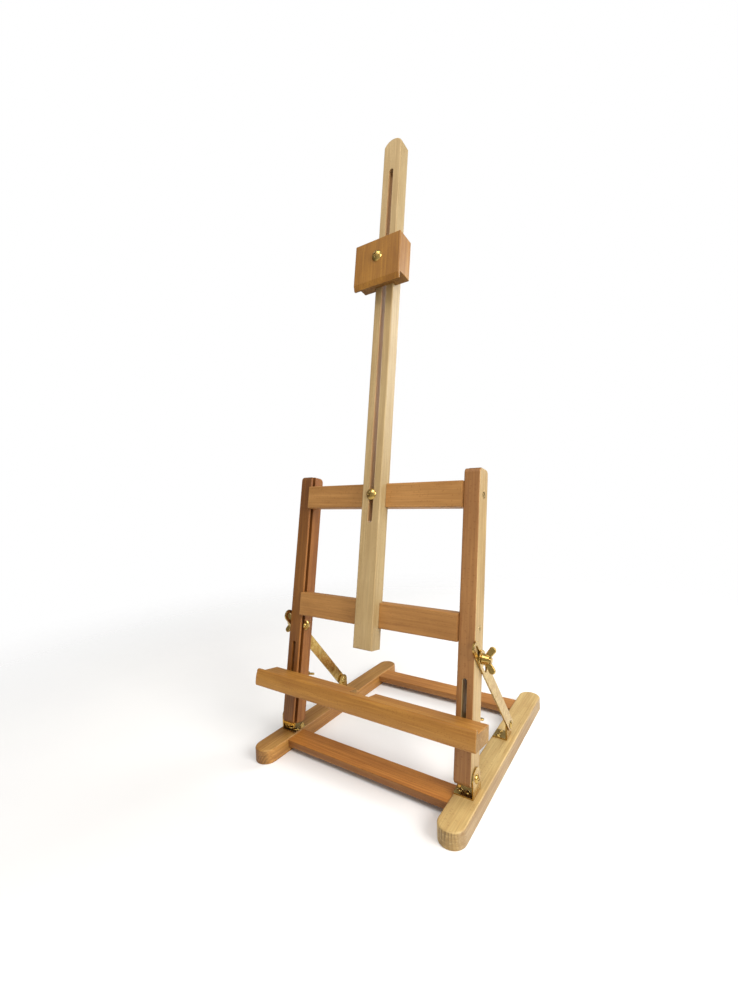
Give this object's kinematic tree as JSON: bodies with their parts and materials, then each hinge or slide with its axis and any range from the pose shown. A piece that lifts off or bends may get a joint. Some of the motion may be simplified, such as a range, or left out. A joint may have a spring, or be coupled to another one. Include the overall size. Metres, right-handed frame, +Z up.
{
  "type": "tabletop easel",
  "caption": "Beech tabletop easel: H-shaped upright frame hinged on a runner base, sliding tray, slotted mast with a top canvas clamp, slotted tilt stays and wing nuts.",
  "frame": {"origin": "on the floor, under the middle of the base", "axes": "+X to the easel's right as the painter's view of its front sees it, +Y back away from the painter, +Z up"},
  "size_m": [0.2998, 0.32, 0.8109],
  "materials": {
    "pale_beech": "satin",
    "oiled_beech": "satin",
    "dowel_beech": "matte",
    "yellow_plated_steel": "bright zinc-yellow plating"
  },
  "bodies": {
    "base": {"runner_left": "pale_beech", "runner_right": "pale_beech", "front_rail": "oiled_beech", "rear_rail": "oiled_beech", "rail_dowels": "dowel_beech", "hinge_bracket_left": "yellow_plated_steel", "hinge_bracket_right": "yellow_plated_steel", "hinge_bracket_screws": "yellow_plated_steel", "stay_bracket_left": "yellow_plated_steel", "stay_bracket_right": "yellow_plated_steel", "stay_bracket_screws": "yellow_plated_steel", "stay_rivets": "yellow_plated_steel"},
    "upright_frame": {"stile_left": "pale_beech", "stile_right": "pale_beech", "hinge_screws": "yellow_plated_steel", "lower_crossbar": "oiled_beech", "upper_crossbar": "oiled_beech", "crossbar_screws": "yellow_plated_steel", "stay_bolts": "yellow_plated_steel", "stay_washers": "yellow_plated_steel", "mast_bolt": "yellow_plated_steel", "mast_washer": "yellow_plated_steel"},
    "tray": {"tray": "oiled_beech", "tray_bolts": "yellow_plated_steel", "tray_washers": "yellow_plated_steel"},
    "mast": {"mast": "pale_beech"},
    "clamp": {"clamp_block": "oiled_beech", "clamp_bolt": "yellow_plated_steel", "clamp_washer": "yellow_plated_steel"},
    "stay_left": {"stay_left": "yellow_plated_steel"},
    "stay_right": {"stay_right": "yellow_plated_steel"},
    "tray_wing_nut_left": {"tray_wing_nut_left": "yellow_plated_steel"},
    "tray_wing_nut_right": {"tray_wing_nut_right": "yellow_plated_steel"},
    "mast_wing_nut": {"mast_wing_nut": "yellow_plated_steel"},
    "clamp_wing_nut": {"clamp_wing_nut": "yellow_plated_steel"},
    "stay_wing_nut_left": {"stay_wing_nut_left": "yellow_plated_steel"},
    "stay_wing_nut_right": {"stay_wing_nut_right": "yellow_plated_steel"}
  },
  "joints": [
    {"name": "frame_tilt", "type": "hinge", "parent": "base", "child": "upright_frame", "pos_m": [0, -0.09873, 0.03438], "axis": [-1, 0, 0], "range_deg": [-10, 11]},
    {"name": "stay_left_pivot", "type": "hinge", "parent": "base", "child": "stay_left", "pos_m": [0, 0.02127, 0.03438], "axis": [-1, 0, 0], "range_deg": [-5.2, 5.7]},
    {"name": "stay_right_pivot", "type": "hinge", "parent": "base", "child": "stay_right", "pos_m": [0, 0.02127, 0.03438], "axis": [-1, 0, 0], "range_deg": [-5.2, 5.7]},
    {"name": "tray_slide", "type": "slide", "parent": "upright_frame", "child": "tray", "axis": [0, 0.1754, 0.9845], "range_m": [0, 0.045]},
    {"name": "mast_slide", "type": "slide", "parent": "upright_frame", "child": "mast", "axis": [0, 0.1754, 0.9845], "range_m": [-0.1, 0.03]},
    {"name": "clamp_slide", "type": "slide", "parent": "mast", "child": "clamp", "axis": [0, 0.1754, 0.9845], "range_m": [-0.15, 0.13]},
    {"name": "tray_wing_nut_left_turn", "type": "hinge", "parent": "tray", "child": "tray_wing_nut_left", "pos_m": [-0.1215, -0.07261, 0.08204], "axis": [0, 0.9845, -0.1754], "continuous": true},
    {"name": "tray_wing_nut_right_turn", "type": "hinge", "parent": "tray", "child": "tray_wing_nut_right", "pos_m": [0.1215, -0.07261, 0.08204], "axis": [0, 0.9845, -0.1754], "continuous": true},
    {"name": "mast_wing_nut_turn", "type": "hinge", "parent": "upright_frame", "child": "mast_wing_nut", "pos_m": [0, -0.03967, 0.32401], "axis": [0, 0.9845, -0.1754], "continuous": true},
    {"name": "clamp_wing_nut_turn", "type": "hinge", "parent": "clamp", "child": "clamp_wing_nut", "pos_m": [0, 0.00165, 0.62442], "axis": [0, 0.9845, -0.1754], "continuous": true},
    {"name": "stay_wing_nut_left_turn", "type": "hinge", "parent": "upright_frame", "child": "stay_wing_nut_left", "pos_m": [-0.14, -0.07768, 0.15252], "axis": [-1, 0, 0], "continuous": true},
    {"name": "stay_wing_nut_right_turn", "type": "hinge", "parent": "upright_frame", "child": "stay_wing_nut_right", "pos_m": [0.14, -0.07768, 0.15252], "axis": [1, 0, 0], "continuous": true}
  ],
  "couplings": [
    {"joint": "stay_left_pivot", "follows": "frame_tilt", "ratio": 0.5},
    {"joint": "stay_right_pivot", "follows": "frame_tilt", "ratio": 0.5}
  ]
}
